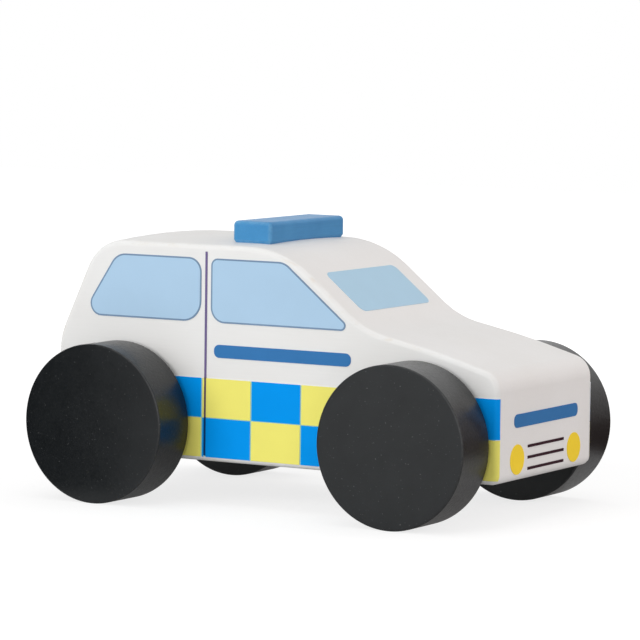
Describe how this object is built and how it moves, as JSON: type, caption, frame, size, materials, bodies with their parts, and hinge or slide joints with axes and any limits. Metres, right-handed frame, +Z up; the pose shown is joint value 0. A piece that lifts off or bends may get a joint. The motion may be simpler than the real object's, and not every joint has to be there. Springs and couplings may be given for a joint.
{
  "type": "toy police car",
  "caption": "Wooden toy police car: a painted block body with printed windows and checks, a roof light bar, and wheels that roll on wooden axles.",
  "frame": {"origin": "on the floor, under the middle of the car's box", "axes": "+X forwards along the car, +Y to the car's left, +Z up"},
  "size_m": [0.1394, 0.089, 0.0781],
  "materials": {
    "white_paint": "satin paint",
    "bar_blue_paint": "satin paint",
    "black_paint": "matte paint",
    "bare_wood": "bare, sanded",
    "pale_blue_ink": "printed film",
    "line_blue_ink": "printed film",
    "check_blue_ink": "printed film",
    "check_yellow_ink": "printed film",
    "lamp_yellow_ink": "printed film",
    "lamp_red_ink": "printed film",
    "grille_ink": "printed film",
    "door_line_ink": "printed film",
    "stripe_ink": "printed film"
  },
  "bodies": {
    "body": {"body_block": "white_paint", "light_bar": "bar_blue_paint", "light_bar_dowels": "bare_wood", "windscreen_print": "pale_blue_ink", "tailgate_window_print": "pale_blue_ink", "headlamp_prints": "lamp_yellow_ink", "grille_print": "grille_ink", "nose_stripe_print": "stripe_ink", "tail_lamp_prints": "lamp_red_ink", "right_front_window_print": "pale_blue_ink", "right_rear_window_print": "pale_blue_ink", "right_window_outline_print": "line_blue_ink", "right_door_line_print": "door_line_ink", "right_blue_checks_print": "check_blue_ink", "right_yellow_checks_print": "check_yellow_ink", "right_stripe_print": "stripe_ink", "left_front_window_print": "pale_blue_ink", "left_rear_window_print": "pale_blue_ink", "left_window_outline_print": "line_blue_ink", "left_door_line_print": "door_line_ink", "left_blue_checks_print": "check_blue_ink", "left_yellow_checks_print": "check_yellow_ink", "left_stripe_print": "stripe_ink"},
    "front_wheels": {"front_axle": "bare_wood", "front_right_wheel": "black_paint", "front_left_wheel": "black_paint"},
    "rear_wheels": {"rear_axle": "bare_wood", "rear_right_wheel": "black_paint", "rear_left_wheel": "black_paint"}
  },
  "joints": [
    {"name": "front_axle_spin", "type": "hinge", "parent": "body", "child": "front_wheels", "pos_m": [0.0457, 0, 0.022], "axis": [0, 1, 0], "continuous": true},
    {"name": "rear_axle_spin", "type": "hinge", "parent": "body", "child": "rear_wheels", "pos_m": [-0.0473, 0, 0.022], "axis": [0, 1, 0], "continuous": true}
  ]
}
